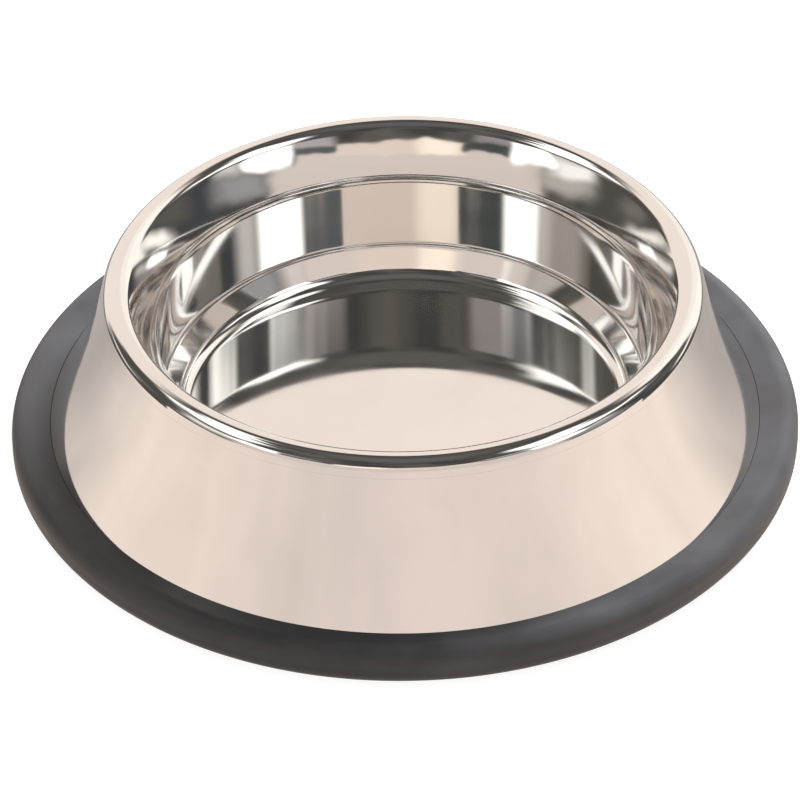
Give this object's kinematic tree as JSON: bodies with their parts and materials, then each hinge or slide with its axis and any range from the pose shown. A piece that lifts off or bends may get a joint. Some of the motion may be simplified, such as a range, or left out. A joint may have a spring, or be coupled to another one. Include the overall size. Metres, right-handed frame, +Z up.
{
  "type": "dog bowl",
  "caption": "Round non-tip feeding bowl: a deep polished steel dish rolled over a flared steel skirt, with a rubber ring gripping its foot.",
  "frame": {"origin": "centre of the ring's flat foot, on the surface that the bowl stands on", "axes": "+Z up along the axis that every piece is turned about; +X and +Y are any two square directions across the bowl"},
  "size_m": [0.252, 0.252, 0.0616],
  "materials": {
    "polished_steel": "mirror-polished stainless steel",
    "ring_rubber": "smooth, slightly glossy moulded rubber"
  },
  "bodies": {
    "root": {"dish": "polished_steel", "skirt": "polished_steel", "ring": "ring_rubber"}
  },
  "joints": []
}
